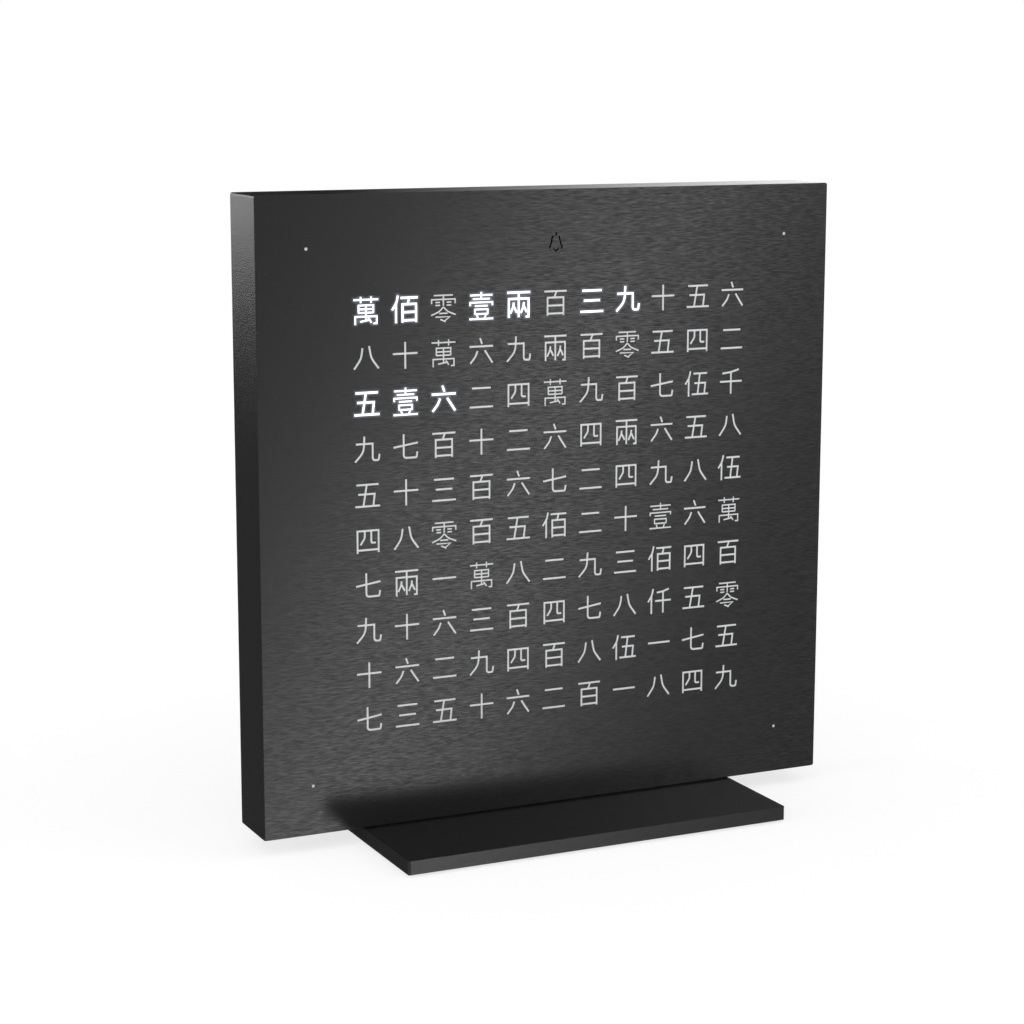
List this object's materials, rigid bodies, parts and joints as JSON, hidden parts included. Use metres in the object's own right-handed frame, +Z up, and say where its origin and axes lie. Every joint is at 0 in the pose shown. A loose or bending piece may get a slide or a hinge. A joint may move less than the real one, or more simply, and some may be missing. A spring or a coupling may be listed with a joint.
{
  "type": "word clock",
  "caption": "Desk word clock: a slim square body with a black brushed cover cut with a grid of numerals, lit from behind, standing on a flat black foot plate.",
  "frame": {"origin": "on the standing surface, under the middle of the foot plate", "axes": "+X to the right along the face, +Y from the face towards the back, +Z up"},
  "size_m": [0.135, 0.063, 0.1386],
  "materials": {
    "face": "black, brushed from side to side",
    "opal": "opal, unlit",
    "lit_opal": "opal, lit from behind",
    "tinted_window": "smoke-tinted, satin",
    "housing": "black fine-grained powder coat",
    "magnet": "nickel plated",
    "moulding": "black, matt moulded",
    "board": "green solder resist, satin",
    "led": "white package with a pale yellow window",
    "screw": "black oxide",
    "chip": "black, matt moulded",
    "contact_metal": "plain stamped metal",
    "plunger": "red, satin",
    "key": "black, fine matt texture",
    "rear_cover": "black, fine spark-eroded texture",
    "foot": "black fine-grained powder coat on steel",
    "pad": "black, matt"
  },
  "bodies": {
    "body": {"housing": "housing", "cover_magnets": "magnet", "light_baffle": "moulding", "led_board": "board", "glyph_leds": "led", "dot_leds": "led", "alarm_led": "led", "board_screws": "screw", "led_drivers": "chip", "microcontroller": "chip", "voltage_regulator": "chip", "clock_crystal": "contact_metal", "smoothing_capacitors": "contact_metal", "socket_shell": "contact_metal", "socket_tongue": "chip", "cell_holder": "moulding", "coin_cell": "contact_metal", "cell_clip": "contact_metal", "sounder": "chip", "switch_bodies": "chip", "rear_cover": "rear_cover", "rear_screws": "screw", "foot_plate": "foot", "foot_screws": "screw", "foot_pads": "pad"},
    "cover": {"front_cover": "face", "diffuser_panel": "opal", "alarm_window": "tinted_window"},
    "hour_button": {"hour_key": "key", "hour_plunger": "plunger"},
    "minute_button": {"minute_key": "key", "minute_plunger": "plunger"},
    "alarm_button": {"alarm_key": "key", "alarm_plunger": "plunger"}
  },
  "joints": [
    {"name": "cover_pull", "type": "slide", "parent": "body", "child": "cover", "axis": [0, -1, 0], "range_m": [0, 0.03]},
    {"name": "hour_press", "type": "slide", "parent": "body", "child": "hour_button", "axis": [0, -1, 0], "range_m": [0, 0.0004], "stiffness_N_per_m": 3000},
    {"name": "minute_press", "type": "slide", "parent": "body", "child": "minute_button", "axis": [0, -1, 0], "range_m": [0, 0.0004], "stiffness_N_per_m": 3000},
    {"name": "alarm_press", "type": "slide", "parent": "body", "child": "alarm_button", "axis": [0, -1, 0], "range_m": [0, 0.0004], "stiffness_N_per_m": 3000}
  ]
}
